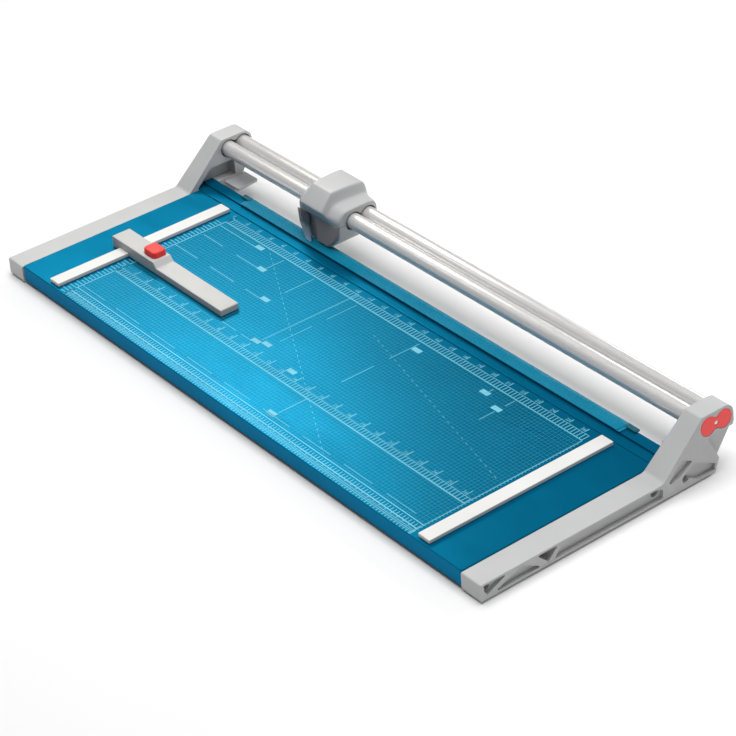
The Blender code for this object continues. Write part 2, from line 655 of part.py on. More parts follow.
def hood_sections():
    """The hood's cross-sections as (y, z): a raised ridge in the middle, a low collar at each end."""
    low, back = SPLIT_Z + GAP / 2, HOOD_BACK
    ridge = [
        (120.0, low), (112.6, 75.0), (109.9, 79.6), (110.8, 83.0), (127.2, 99.4), (131.6, 101.5),
        (173.0, 101.5), (178.9, 98.0), (181.2, 87.5), (back, 73.0), (back, low),
    ]
    ridge_edge = [
        (120.0, low), (113.7, 75.0), (111.2, 79.6), (112.0, 82.6), (127.8, 98.2), (132.0, 100.2),
        (172.8, 100.2), (178.3, 97.0), (180.9, 87.2), (back, 73.0), (back, low),
    ]
    foot_of_ridge = [
        (120.0, low), (117.9, 66.5), (115.8, 71.0), (117.4, 76.0), (125.8, 84.6), (135.0, 88.0),
        (172.9, 88.0), (177.7, 86.0), (180.7, 80.0), (back, 73.0), (back, low),
    ]
    flare = [
        (120.0, low), (118.9, 66.0), (118.2, 70.5), (119.8, 75.0), (127.0, 82.6), (136.2, 85.4),
        (172.6, 85.4), (177.5, 83.6), (180.6, 78.6), (back, 72.5), (back, low),
    ]
    collar = [
        (121.6, low), (121.4, 65.5), (121.7, 69.4), (122.9, 73.8), (129.0, 80.2), (137.6, 82.6),
        (172.0, 82.6), (176.9, 81.0), (180.3, 76.8), (back, 71.6), (back, low),
    ]
    end = [
        (125.0, low), (124.9, 65.5), (125.2, 69.0), (126.4, 72.6), (131.4, 78.4), (138.8, 80.6),
        (171.4, 80.6), (176.1, 79.2), (179.8, 75.6), (181.1, 70.6), (181.1, low),
    ]
    return {17.4: ridge, 19.2: ridge_edge, 22.0: foot_of_ridge, 26.5: flare, 37.6: collar, HEAD_HALF: end}


def housing_ring(z, half_x, front, back, chamfer, rise=0.0):
    """A plan outline of the housing that climbs by rise from its front edge to its back edge."""
    corners = [
        (-half_x, front + chamfer),
        (-half_x + chamfer, front),
        (half_x - chamfer, front),
        (half_x, front + chamfer),
        (half_x, back - chamfer / 2),
        (half_x - chamfer / 2, back),
        (-half_x + chamfer / 2, back),
        (-half_x, back - chamfer / 2),
    ]
    return [(HEAD_X + x, y, z + rise * (y - front) / (back - front)) for x, y in corners]


def head_cavities(name):
    """Cutters for the tunnel round the tubes and for the space that the round blade turns in."""
    span = (HEAD_X - HEAD_HALF - 2, HEAD_X + HEAD_HALF + 2)
    tunnel = prism(name + "_tunnel", figure_eight(TUNNEL_R), "X", span, "black_plastic")
    disc = (HEAD_X, 0, DISC_Z)
    room = rod(name + "_blade_room", disc, "Y", DISC_R + 1.5, (DISC_Y[0] - 0.9, 131.8), segments=48)
    hub_room = rod(name + "_hub_room", disc, "Y", 9.5, (DISC_Y[0] - 3.8, DISC_Y[0]), segments=32)
    return tunnel, room, hub_room


def hood():
    shell = rounded(loft("head_hood", mirrored_sections(hood_sections()), "frame_grey"), 0.5, 2, 0.5)
    carve(shell, *head_cavities("hood"))


def blade_housing():
    """The dark lower shell round the blade; its left front corner is cut back for the clear guard."""
    top = SPLIT_Z - GAP / 2
    sections = [
        housing_ring(HOUSING_BASE, 23.5, 116.8, 163.0, 6.0, 4.0),
        housing_ring(HOUSING_BASE + 2.0, 25.0, 116.8, 165.0, 6.0, 3.6),
        housing_ring(47.0, 37.0, 118.6, 175.0, 6.0),
        housing_ring(top, HEAD_HALF, 120.0, 181.1, 5.6),
    ]
    shell = rounded(loft("blade_housing", sections, "housing_grey"), 0.5, 2, 0.5)
    corner = [(-60.0, 20.0), (GUARD_SIDE + 6.0, 20.0), (GUARD_SIDE, top - 0.9), (-60.0, top - 0.9)]
    outline = [(HEAD_X + x, z) for x, z in corner]
    corner_cut = prism("housing_guard_corner", outline, "Y", (105.0, 121.8), "housing_grey")
    pad_x, pad_y, pad_z = PAD
    seat = ((pad_x[0] - 0.4, pad_x[1] + 0.4), (pad_y[0] - GAP, pad_y[1] + GAP), (27.0, pad_z[1] + 0.4))
    pad_seat = box("housing_pad_seat", *seat, "housing_grey")
    carve(shell, *head_cavities("housing"), corner_cut, pad_seat)
    box("pressure_pad", pad_x, pad_y, pad_z, "black_plastic", 0.4)


def guard():
    """The clear guard: a leaning plate in front of the blade, narrowing to a foot over the clamp strip."""
    top = SPLIT_Z - 1.4
    edge = [(-40.0, 118.2, top), (-16.0, 118.2, top), (-16.0, 120.2, top), (-40.0, 120.2, top)]
    knee = [(-33.5, 115.0, 45.0), (-14.0, 115.0, 45.0), (-14.0, 117.0, 45.0), (-33.5, 117.0, 45.0)]
    foot = [(-17.0, 110.6, 28.2), (-7.5, 110.6, 28.2), (-7.5, 112.6, 28.2), (-17.0, 112.6, 28.2)]
    sections = [[(HEAD_X + x, y, z) for x, y, z in ring] for ring in (foot, knee, edge)]
    loft("blade_guard", sections, "clear_plastic")


def rail_bushes():
    """Two slide bushes inside the head's tunnel, each round both tubes."""
    for label, side in (("left", -1), ("right", 1)):
        x = sorted((HEAD_X + side * 24.0, HEAD_X + side * 35.0))
        bush = prism(f"rail_bush_{label}", figure_eight(TUNNEL_R - 0.2), "X", x, "black_plastic")
        bores = []
        for index in range(2):
            origin = (0, RAIL_Y + RAIL_PITCH * index, RAIL_Z)
            span = (x[0] - 1, x[1] + 1)
            bores.append(rod(f"bush_bore_{label}_{index}", origin, "X", TUBE_R + RUNNING, span, segments=48))
        carve(bush, *bores)


def blade_unit():
    """The round blade and its hub on an axle in a carrier plate, sprung against the fixed blade."""
    origin = (HEAD_X, 0, DISC_Z)
    near, far = DISC_Y
    bore = AXLE_R + RUNNING
    rim = [(bore, near), (DISC_R, near), (DISC_R, near + 0.2), (DISC_R - 2.5, far), (bore, far)]
    turned("round_blade", rim, origin, "Y", "blade_steel", 48, hollow=True)
    hub = [(bore, near - 2.3), (7.4, near - 2.3), (8.0, near - 1.7), (8.0, near - GAP), (bore, near - GAP)]
    turned("blade_hub", hub, origin, "Y", "black_plastic", 32, hollow=True)
    washer = [(3.4, near - 3.1), (6.4, near - 3.1), (6.4, near - 2.6), (3.4, near - 2.6)]
    turned("pressure_washer", washer, origin, "Y", "zinc_steel", 24, hollow=True)
    axle = [(4.2, near - 3.7), (4.8, near - 3.5), (4.8, near - 3.3), (AXLE_R, near - 3.3), (AXLE_R, 131.4)]
    turned("blade_axle", axle, origin, "Y", "zinc_steel", 24)
    plate_z = (36.0, 70.0)
    plate_x = (HEAD_X - 11.0, HEAD_X + 11.0)
    carrier = prism("blade_carrier", rectangle(plate_x, plate_z, 4.0), "Y", (far + 0.4, 131.2), "zinc_steel")
    carve(carrier, rod("blade_carrier_bore", origin, "Y", AXLE_R + 0.2, (far, 132.0)))


def main():
    clear_scene()
    end_frame("left_end_frame", -1)
    end_frame("right_end_frame", 1)
    feet()
    for label, side in (("left", -1), ("right", 1)):
        frame_screws(label, side)
        end_plug(label, side)
    guide_tubes()
    table()
    stiffeners()
    rear_bar()
    lower_blade()
    clamp_strip()
    side_stops()
    backstop()
    hood()
    blade_housing()
    guard()
    rail_bushes()
    blade_unit()


main()
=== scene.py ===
"""The rotary paper trimmer's looks: fine copies of the CAD pieces, their materials, the table's print."""

import json
from math import cos, hypot, pi, radians, sin

import bmesh
import bpy
from mathutils import Matrix, Vector


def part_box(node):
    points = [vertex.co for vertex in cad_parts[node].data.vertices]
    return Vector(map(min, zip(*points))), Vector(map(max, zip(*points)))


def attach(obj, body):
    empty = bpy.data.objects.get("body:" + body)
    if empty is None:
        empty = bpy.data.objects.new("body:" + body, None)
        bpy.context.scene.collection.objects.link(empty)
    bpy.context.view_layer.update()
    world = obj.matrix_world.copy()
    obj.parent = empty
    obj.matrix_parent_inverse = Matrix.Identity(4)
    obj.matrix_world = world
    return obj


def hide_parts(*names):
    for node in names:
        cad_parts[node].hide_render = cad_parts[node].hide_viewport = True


MM = 0.001
DATUM = -1.0  # from the y of the CAD's own figures to the frame's y, in millimetres
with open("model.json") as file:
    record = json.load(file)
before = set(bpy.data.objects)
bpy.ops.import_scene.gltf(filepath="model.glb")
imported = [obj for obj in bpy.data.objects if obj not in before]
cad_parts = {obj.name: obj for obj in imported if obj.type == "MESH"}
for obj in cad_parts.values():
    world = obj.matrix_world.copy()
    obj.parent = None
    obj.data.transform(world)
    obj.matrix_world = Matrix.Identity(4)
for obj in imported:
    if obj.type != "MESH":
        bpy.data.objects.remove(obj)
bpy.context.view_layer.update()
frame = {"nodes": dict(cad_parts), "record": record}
NODE_SLOT = {row["node"]: row["material_slot"] for row in frame["record"]["subparts"]}
NODE_BODY = {node: body for body, nodes in frame["record"]["behaviour"]["bodies"].items() for node in nodes}


# Materials


class Surface:
    """A Principled material whose colour, roughness and bump come from noise in the object's own space."""

    def __init__(self, name, roughness=0.4, metallic=0.0, specular=0.5):
        self.material = bpy.data.materials.new(name)
        self.material.use_nodes = True
        self.tree = self.material.node_tree
        self.shader = self.tree.nodes["Principled BSDF"]
        self.shader.inputs["Roughness"].default_value = roughness
        self.shader.inputs["Metallic"].default_value = metallic
        self.shader.inputs["IOR"].default_value = 1.5
        self.shader.inputs["Specular IOR Level"].default_value = specular
        self.place = self.tree.nodes.new("ShaderNodeTexCoord").outputs["Object"]

    def node(self, kind, **values):
        made = self.tree.nodes.new("ShaderNode" + kind)
        for key, value in values.items():
            setattr(made, key, value)
        return made

    def link(self, source, target):
        self.tree.links.new(source, target)

    def stretched(self, scale):
        mapping = self.node("Mapping")
        mapping.inputs["Scale"].default_value = scale
        self.link(self.place, mapping.inputs["Vector"])
        return mapping.outputs["Vector"]

    def noise(self, scale, detail=4.0, rough=0.55, stretch=None):
        made = self.node("TexNoise")
        made.inputs["Scale"].default_value = scale
        made.inputs["Detail"].default_value = detail
        made.inputs["Roughness"].default_value = rough
        self.link(self.stretched(stretch) if stretch else self.place, made.inputs["Vector"])
        return made.outputs["Fac"]

    def ramp(self, value, stops):
        """A colour ramp; stops are (position, colour)."""
        made = self.node("ValToRGB")
        elements = made.color_ramp.elements
        elements[0].position, elements[0].color = stops[0]
        elements[1].position, elements[1].color = stops[-1]
        for position, color in stops[1:-1]:
            elements.new(position).color = color
        self.link(value, made.inputs["Fac"])
        return made.outputs["Color"]

    def span(self, value, low, high, start=0.3, end=0.7):
        """The value brought from the range start to end into the range low to high."""
        made = self.node("MapRange")
        for key, number in zip(("From Min", "From Max", "To Min", "To Max"), (start, end, low, high)):
            made.inputs[key].default_value = number
        self.link(value, made.inputs["Value"])
        return made.outputs["Result"]

    def color(self, value, *colors):
        """Spreads the colours evenly over the noise's middle, where most of its values lie."""
        start, end = 0.32, 0.68
        step = (end - start) / (len(colors) - 1)
        stops = [(start + step * i, (*color, 1)) for i, color in enumerate(colors)]
        self.link(self.ramp(value, stops), self.shader.inputs["Base Color"])
        return self

    def roughness(self, value, low, high):
        self.link(self.span(value, low, high), self.shader.inputs["Roughness"])
        return self

    def bump(self, value, depth):
        """Adds a bump of this depth in metres; bumps stack in the order that they are added."""
        made = self.node("Bump")
        made.inputs["Strength"].default_value = 1.0
        made.inputs["Distance"].default_value = depth
        self.link(value, made.inputs["Height"])
        normal = self.shader.inputs["Normal"]
        if normal.links:
            self.link(normal.links[0].from_socket, made.inputs["Normal"])
        self.link(made.outputs["Normal"], normal)
        return self


def tone(color, factor):
    return tuple(min(1.0, c * factor) for c in color)


def moulded_plastic(name, color, roughness, grain=2600.0, depth=0.000012, variation=0.05, gloss=0.5):
    """Moulded plastic: faint flow clouds in the colour and a fine spark-eroded grain."""
    made = Surface(name, roughness, specular=gloss)
    clouds = made.noise(9.0, 5.0)
    made.color(clouds, tone(color, 1 - variation), color, tone(color, 1 + variation))
    made.roughness(made.noise(60.0, 3.0), roughness - 0.05, roughness + 0.07)
    made.bump(made.noise(grain, 2.0), depth)
    made.bump(made.noise(14.0, 2.0), depth * 3)
    return made.material


def powder_coat(name, color):
    """Blue coat with a metallic lustre on sheet steel: orange peel, a fine grain and a little haze."""
    made = Surface(name, 0.32, metallic=0.65, specular=0.05)
    made.shader.inputs["Specular Tint"].default_value = (0.1, 0.5, 0.72, 1)
    haze = made.noise(5.0, 6.0, 0.6)
    made.color(haze, tone(color, 0.94), color, tone(color, 1.07))
    made.roughness(made.noise(24.0, 5.0, stretch=(0.5, 1.5, 1)), 0.28, 0.36)
    made.bump(made.noise(1500.0, 2.0), 0.000008)
    made.bump(made.noise(220.0, 2.0), 0.00002)
    return made.material


def drawn_metal(name, color, roughness, along=(0.02, 1, 1), scale=1400.0, depth=0.000003, metallic=1.0):
    """Bright metal with drawing lines along one axis."""
    made = Surface(name, roughness, metallic=metallic)
    made.color(made.noise(12.0, 4.0, stretch=along), tone(color, 0.94), color, tone(color, 1.04))
    lines = made.noise(scale, 2.0, stretch=along)
    made.roughness(lines, roughness * 0.85, roughness * 1.2)
    made.bump(lines, depth)
    return made.material


def clear(name, color, alpha, roughness):
    """Clear acrylic: it lets the piece behind through, with faint scuffs on its face."""
    made = Surface(name, roughness, specular=0.25)
    made.color(made.noise(18.0, 4.0), tone(color, 0.95), color, tone(color, 1.05))
    made.roughness(made.noise(90.0, 6.0, stretch=(0.1, 1, 1)), roughness * 0.7, roughness * 1.8)
    made.bump(made.noise(700.0, 2.0), 0.000004)
    made.shader.inputs["Alpha"].default_value = alpha
    return made.material


MATERIALS = {
    "frame_grey": moulded_plastic("moulded_grey", (0.455, 0.457, 0.46), 0.42),
    "table_blue": powder_coat("blue_coat", (0.001, 0.158, 0.30)),
    "ivory": moulded_plastic("ivory_plastic", (0.66, 0.66, 0.645), 0.4),
    "backstop_grey": moulded_plastic("backstop_plastic", (0.455, 0.455, 0.45), 0.42),
    "signal_red": moulded_plastic("red_plastic", (0.78, 0.045, 0.04), 0.42, variation=0.08, gloss=0.25),
    "housing_grey": moulded_plastic("dark_housing", (0.285, 0.245, 0.235), 0.5, gloss=0.25),
    "bright_tube": drawn_metal("bright_tube", (0.76, 0.75, 0.745), 0.3, metallic=0.5, depth=0.000001),
    "blade_steel": drawn_metal("blade_steel", (0.30, 0.31, 0.33), 0.28),
    "zinc_steel": drawn_metal("zinc_plate", (0.62, 0.62, 0.60), 0.34, along=(1, 1, 1), scale=900.0),
    # painted sheen: the strip is clear acrylic, and its half see-through light teal lightens the table under
    # it in place of the light it catches
    "clear_plastic": clear("clear_acrylic_painted_sheen", (0.005, 0.29, 0.46), 0.5, 0.3),
    "black_plastic": moulded_plastic("black_plastic", (0.02, 0.02, 0.021), 0.5),
    "rubber": moulded_plastic("rubber", (0.017, 0.017, 0.017), 0.75, depth=0.00003),
}
INK = moulded_plastic("print_ink", (0.14, 0.50, 0.63), 0.5, variation=0.1)


# Pieces


def add(name, mesh, body, slot, material=None):
    """A new piece that rides on a body, in its slot's material or in one of its own."""
    obj = bpy.data.objects.new(name, mesh)
    bpy.context.scene.collection.objects.link(obj)
    mesh.materials.clear()
    mesh.materials.append(material or MATERIALS[slot])
    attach(obj, body)
    return obj


def smooth(mesh, angle=35.0):
    """Smooth shading, with a crease at each edge that turns by more than the angle."""
    mesh.shade_smooth()
    mesh.set_sharp_from_angle(angle=radians(angle))


def soften(obj, width, segments=2, angle=30.0, facets=False):
    """Rounds the piece's edges. Its large faces stay flat in the shading, or all of them do with facets."""
    bevel = obj.modifiers.new("soft_edges", "BEVEL")
    bevel.width = width * MM
    bevel.segments = segments
    bevel.limit_method = "ANGLE"
    bevel.angle_limit = radians(angle)
    bevel.use_clamp_overlap = not facets
    bevel.miter_outer = "MITER_ARC"
    if facets:
        return
    weighted = obj.modifiers.new("flat_faces", "WEIGHTED_NORMAL")
    weighted.keep_sharp = True
    weighted.weight = 80


def fine_copy(node, edge, segments=2, material=None, merge=True):
    """A copy of a CAD node with its flat faces merged and its edges rounded, which stands for the node."""
    mesh = frame["nodes"][node].data.copy()
    bm = bmesh.new()
    bm.from_mesh(mesh)
    bmesh.ops.remove_doubles(bm, verts=bm.verts, dist=0.002 * MM)
    if merge:
        bmesh.ops.dissolve_limit(bm, angle_limit=radians(0.6), verts=bm.verts, edges=bm.edges)
    bm.to_mesh(mesh)
    bm.free()
    if merge:
        smooth(mesh)
    else:
        mesh.shade_flat()
    obj = add("fine_" + node, mesh, NODE_BODY[node], NODE_SLOT[node], material)
    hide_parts(node)
    if edge:
        soften(obj, edge, segments, facets=not merge)
    return obj


def slab(bm, x, y, z):
    """One closed box between two places on each axis, such as a printed line."""
    ends = (0, 1)
    corners = [bm.verts.new((x[i] * MM, y[j] * MM, z[k] * MM)) for i in ends for j in ends for k in ends]
    for a, b, c, d in ((0, 1, 3, 2), (4, 6, 7, 5), (0, 4, 5, 1), (2, 3, 7, 6), (0, 2, 6, 4), (1, 5, 7, 3)):
        bm.faces.new([corners[i] for i in (a, b, c, d)])


# Floor, light and camera


def floor():
    bpy.ops.mesh.primitive_plane_add(size=14, location=(0, 0, -0.0002))
    plane = bpy.context.object
    plane.name = "floor"
    made = Surface("floor_paper", 0.9)
    made.color(made.noise(2.0), (0.835, 0.835, 0.835), (0.845, 0.845, 0.845))
    plane.data.materials.append(made.material)


def area_light(name, place, target, size, power, color=(1, 1, 1), diffuse=True, glossy=True):
    """A rectangular light that faces its target; it can be left out of the diffuse or the glossy light."""
    data = bpy.data.lights.new(name, "AREA")
    data.shape = "RECTANGLE"
    data.size, data.size_y = size
    data.energy = power
    data.color = color
    light = bpy.data.objects.new(name, data)
    bpy.context.scene.collection.objects.link(light)
    light.location = place
    light.rotation_euler = (Vector(target) - Vector(place)).to_track_quat("-Z", "Y").to_euler()
    light.visible_diffuse = diffuse
    light.visible_glossy = glossy


def lights():
    """A white studio: soft light from above, a low light from the left, and three small fills.

    The top and left lights each come in two parts, one for the surfaces' own colour and one for their sheen.
    """
    world = bpy.data.worlds.new("studio")
    world.use_nodes = True
    background = world.node_tree.nodes["Background"]
    background.inputs["Color"].default_value = (1, 1, 1, 1)
    background.inputs["Strength"].default_value = 0.22
    bpy.context.scene.world = world
    overhead = ((0.1, 0.0, 2.5), (0.05, 0, 0), (1.9, 1.9))
    area_light("top", *overhead, 64.0, glossy=False)
    area_light("top_sheen", *overhead, 16.0, diffuse=False)
    area_light("left", (-1.45, 0.64, 1.285), (0.09, -0.3, 0), (0.75, 0.45), 6.0, glossy=False)
    warm = (1.0, 0.98, 0.84)
    area_light("left_sheen", (-1.43, 0.53, 1.25), (0.07, -0.35, 0), (0.75, 0.42), 10.6, warm, diffuse=False)
    area_light("right", (1.0, -0.1, 0.7), (0.457, 0, 0.03), (0.3, 0.3), 0.6)
    area_light("edge", (-1.3, -0.6, 1.4), (0, -0.1, 0), (0.3, 0.3), 1.0)
    area_light("rear", (0.1, 1.7, 1.0), (0.1, 0.3, 0), (1.8, 0.4), 12.0)


def camera():
    """The camera stands 3.1 m off, 54 degrees round from the front and 33 degrees up, slightly rolled."""
    azimuth, elevation, roll = radians(54.3552), radians(33.0563), radians(-4.72017)
    aim, distance = (25.3104, -7.27163), 3117.136
    back = Vector((sin(azimuth) * cos(elevation), -cos(azimuth) * cos(elevation), sin(elevation)))
    level = Vector((0, 0, 1)).cross(back).normalized()
    rise = back.cross(level)
    right = level * cos(roll) + rise * sin(roll)
    up = rise * cos(roll) - level * sin(roll)
    place = right * aim[0] + up * aim[1] + back * distance + Vector((0, DATUM, 0))
    data = bpy.data.cameras.new("camera")
    data.sensor_width = 36.0
    data.lens = 129.92
    data.clip_start, data.clip_end = 0.05, 50.0
    made = bpy.data.objects.new("camera", data)
    bpy.context.scene.collection.objects.link(made)
    turn = Matrix((right, up, back)).transposed().to_4x4()
    made.matrix_world = Matrix.Translation(place * MM) @ turn
    bpy.context.scene.camera = made


# The guide tubes

TUBE_WALL = 1.6
TUBE_SIDES = 96


def tube(name):
    """A drawn guide tube: a long thin-walled turning with eased ends."""
    low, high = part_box(name)
    y, z = (low.y + high.y) / 2, (low.z + high.z) / 2
    outer = (high.z - low.z) / 2 / MM
    inner = outer - TUBE_WALL
    profile = []
    for x, inward in ((low.x / MM, 1), (high.x / MM, -1)):
        rim = [(x + inward * 1.2, inner), (x, inner + 0.3), (x, outer - 0.5)]
        rim += [(x + inward * 0.15, outer - 0.15), (x + inward * 0.5, outer)]
        profile += rim if inward == 1 else rim[::-1]
    bm = bmesh.new()
    rings = []
    for x, r in profile:
        ring = []
        for i in range(TUBE_SIDES):
            a = 2 * pi * i / TUBE_SIDES
            ring.append(bm.verts.new((x * MM, y + r * MM * cos(a), z + r * MM * sin(a))))
        rings.append(ring)
    rings.append(rings[0])
    for a, b in zip(rings, rings[1:]):
        for i in range(TUBE_SIDES):
            j = (i + 1) % TUBE_SIDES
            bm.faces.new((a[i], a[j], b[j], b[i]))
    bmesh.ops.recalc_face_normals(bm, faces=bm.faces)
    mesh = bpy.data.meshes.new(name)
    bm.to_mesh(mesh)
    bm.free()
    smooth(mesh, 30)
    obj = add("drawn_" + name, mesh, "base", "bright_tube")
    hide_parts(name)


def tubes():
    for name in ("front_guide_tube", "rear_guide_tube"):
        tube(name)


# The cutter head: its figures are in the CAD's own y, and the loft adds DATUM

SPLIT = 62.5  # height of the seam between the hood and the lower shell
SEAM = 0.15  # half of the seam's width
HOOD_BACK = 181.7
RIDGE_SIDE = 17.4  # the ridge's flat half, from the head's middle
SHOULDER_SIDE = 19.4
NOSE_WIDENING = 0.11  # share by which the ridge's sides spread towards the nose
REAR_WIDENING = 0.16  # and towards the back


def head_middle():
    """The x of the head's middle, and half of its width."""
    low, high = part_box("head_hood")
    return (low.x + high.x) / 2 / MM, (high.x - low.x) / 2 / MM


def hood_stations(half):
    """The hood's control outlines as (y, z), each at its distance from the head's middle."""
    low, back = SPLIT + SEAM, HOOD_BACK
    ridge = [
        (120.0, low), (113.2, 74.0), (109.9, 80.0), (110.8, 83.0), (127.2, 99.4), (131.6, 101.5),
        (173.0, 101.5), (178.9, 98.0), (181.2, 87.5), (back, 73.0), (back, low),
    ]
    shoulder = [
        (120.0, low), (114.0, 74.0), (111.0, 79.4), (112.0, 82.4), (127.8, 98.2), (132.0, 100.2),
        (172.8, 100.2), (178.3, 97.0), (180.9, 87.2), (back, 73.0), (back, low),
    ]
    foot = [
        (120.0, low), (117.6, 68.5), (115.8, 72.0), (117.4, 76.6), (125.8, 85.0), (135.0, 88.4),
        (172.9, 88.4), (177.7, 86.4), (180.7, 80.4), (back, 73.0), (back, low),
    ]
    flare = [
        (120.0, low), (118.9, 67.0), (118.2, 70.8), (119.8, 75.0), (127.0, 82.4), (136.2, 85.0),
        (172.6, 85.0), (177.5, 83.2), (180.6, 78.4), (back, 72.5), (back, low),
    ]
    collar = [
        (121.0, low), (120.9, 65.5), (121.0, 69.4), (122.3, 73.8), (128.6, 80.4), (137.4, 82.8),
        (172.0, 82.8), (176.9, 81.2), (180.3, 77.0), (back, 71.6), (back, low),
    ]
    end = [
        (123.2, low), (123.1, 65.5), (123.3, 69.2), (124.6, 73.2), (130.2, 79.4), (138.2, 81.6),
        (171.6, 81.6), (176.4, 80.2), (180.0, 76.2), (181.3, 71.0), (181.3, low),
    ]
    outlines = [(RIDGE_SIDE, ridge), (SHOULDER_SIDE, shoulder), (22.5, foot), (27.0, flare)]
    return outlines + [(half - 2.2, collar), (half, end)]


def between(stations, x):
    """The control outline at a distance from the middle: straight in the ridge, curved outside it."""
    if x <= stations[0][0]:
        return stations[0][1]
    for i in range(len(stations) - 1):
        left, right = stations[i], stations[i + 1]
        if x <= right[0]:
            before = stations[max(i - 1, 0)]
            after = stations[min(i + 2, len(stations) - 1)]
            t = (x - left[0]) / (right[0] - left[0])
            points = range(len(left[1]))
            return [tuple(eased(before, left, right, after, k, c, t) for c in (0, 1)) for k in points]
    return stations[-1][1]


def eased(before, left, right, after, k, c, t):
    """Coordinate c of control point k, a share t of the way from the left station to the right one."""
    p, q = left[1][k][c], right[1][k][c]
    m0 = slope(before, left, right, k, c) * (right[0] - left[0])
    m1 = slope(left, right, after, k, c) * (right[0] - left[0])
    h = t * t * (3 - 2 * t)
    return p * (1 - h) + q * h + m0 * t * (1 - t) ** 2 - m1 * t * t * (1 - t)


def slope(left, middle, right, k, c):
    """The curve's slope at the middle station: 0 at an end, or where the direction turns."""
    if left[0] == middle[0] or right[0] == middle[0]:
        return 0.0
    before = (middle[1][k][c] - left[1][k][c]) / (middle[0] - left[0])
    after = (right[1][k][c] - middle[1][k][c]) / (right[0] - middle[0])
    if before * after <= 0:
        return 0.0
    return 2 * before * after / (before + after)


def share(value, start, end):
    """How far the value has come from start to end, between 0 and 1."""
    return min(1.0, max(0.0, (value - start) / (end - start)))


def rounded_line(points, rounds=2):
    """Cuts the corners of an open line, which keeps its two ends."""
    for _ in range(rounds):
        softer = [points[0]]
        for a, b in zip(points, points[1:]):
            softer.append(tuple(u * 0.75 + v * 0.25 for u, v in zip(a, b)))
            softer.append(tuple(u * 0.25 + v * 0.75 for u, v in zip(a, b)))
        softer.append(points[-1])
        points = softer
    return points


def inset(ring, amount):
    """Moves the points of an open line towards its inner side, and its two ends along the seam."""
    moved = []
    for i, (y, z) in enumerate(ring):
        a, b = ring[max(i - 1, 0)], ring[min(i + 1, len(ring) - 1)]
        dy, dz = b[0] - a[0], b[1] - a[1]
        length = hypot(dy, dz) or 1.0
        keep = 0.0 if i in (0, len(ring) - 1) else amount
        side = amount if i == 0 else -amount if i == len(ring) - 1 else 0.0
        moved.append((y + dz / length * keep + side, z - dy / length * keep))
    return moved


def loft(name, rings):
    """A closed solid through rings of points that all have the same count."""
    bm = bmesh.new()
    rows = [[bm.verts.new(tuple(c * MM for c in point)) for point in ring] for ring in rings]
    count = len(rows[0])
    for a, b in zip(rows, rows[1:]):
        for i in range(count):
            j = (i + 1) % count
            bm.faces.new((a[i], a[j], b[j], b[i]))
    bm.faces.new(rows[0])
    bm.faces.new(rows[-1][::-1])
    bmesh.ops.recalc_face_normals(bm, faces=bm.faces)
    mesh = bpy.data.meshes.new(name)
    bm.to_mesh(mesh)
    bm.free()
    return mesh


def cut(mesh, cutters):
    """The mesh with each cutter mesh taken out of it."""
    body = bpy.data.objects.new("cut_body", mesh)
    bpy.context.scene.collection.objects.link(body)
    helpers = []
    for cutter in cutters:
        helper = bpy.data.objects.new("cutter", cutter)
        bpy.context.scene.collection.objects.link(helper)
        modifier = body.modifiers.new("cut", "BOOLEAN")
        modifier.operation = "DIFFERENCE"
        modifier.solver = "EXACT"
        modifier.object = helper
        helpers.append(helper)
    bpy.context.view_layer.update()
    depsgraph = bpy.context.evaluated_depsgraph_get()
    result = bpy.data.meshes.new_from_object(body.evaluated_get(depsgraph))
    for obj in (body, *helpers):
        bpy.data.objects.remove(obj, do_unlink=True)
    return result


def tunnel_cutter(half, x):
    """The room round the two guide tubes: two lobes that join at the waist."""
    front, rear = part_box("front_guide_tube"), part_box("rear_guide_tube")
    y0, y1 = (front[0].y + front[1].y) / 2 / MM, (rear[0].y + rear[1].y) / 2 / MM
    z = (front[0].z + front[1].z) / 2 / MM
    clearance = 1.8
    radius = (front[1].z - front[0].z) / 2 / MM + clearance
    steps = 40
    opening = 0.55  # where each lobe gives way to the waist, in radians either side of the other lobe
    outline = []
    for y, start in ((y0, opening), (y1, pi + opening)):
        for i in range(steps + 1):
            a = start + (2 * pi - 2 * opening) * i / steps
            outline.append((y + radius * cos(a), z + radius * sin(a)))
    return loft("tunnel", [[(x + side, y, v) for y, v in outline] for side in (-half - 3, half + 3)])


def disc_cutter(x):
    """The room round the round blade and its hub."""
    low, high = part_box("round_blade")
    radius = (high.z - low.z) / 2 / MM + 1.5
    z = (high.z + low.z) / 2 / MM
    sides = 72
    turns = [2 * pi * i / sides for i in range(sides)]
    ring = [(x + radius * cos(a), z + radius * sin(a)) for a in turns]
    return loft("room", [[(u, y, v) for u, v in ring] for y in (low.y / MM - 0.9, high.y / MM + 4.0)])


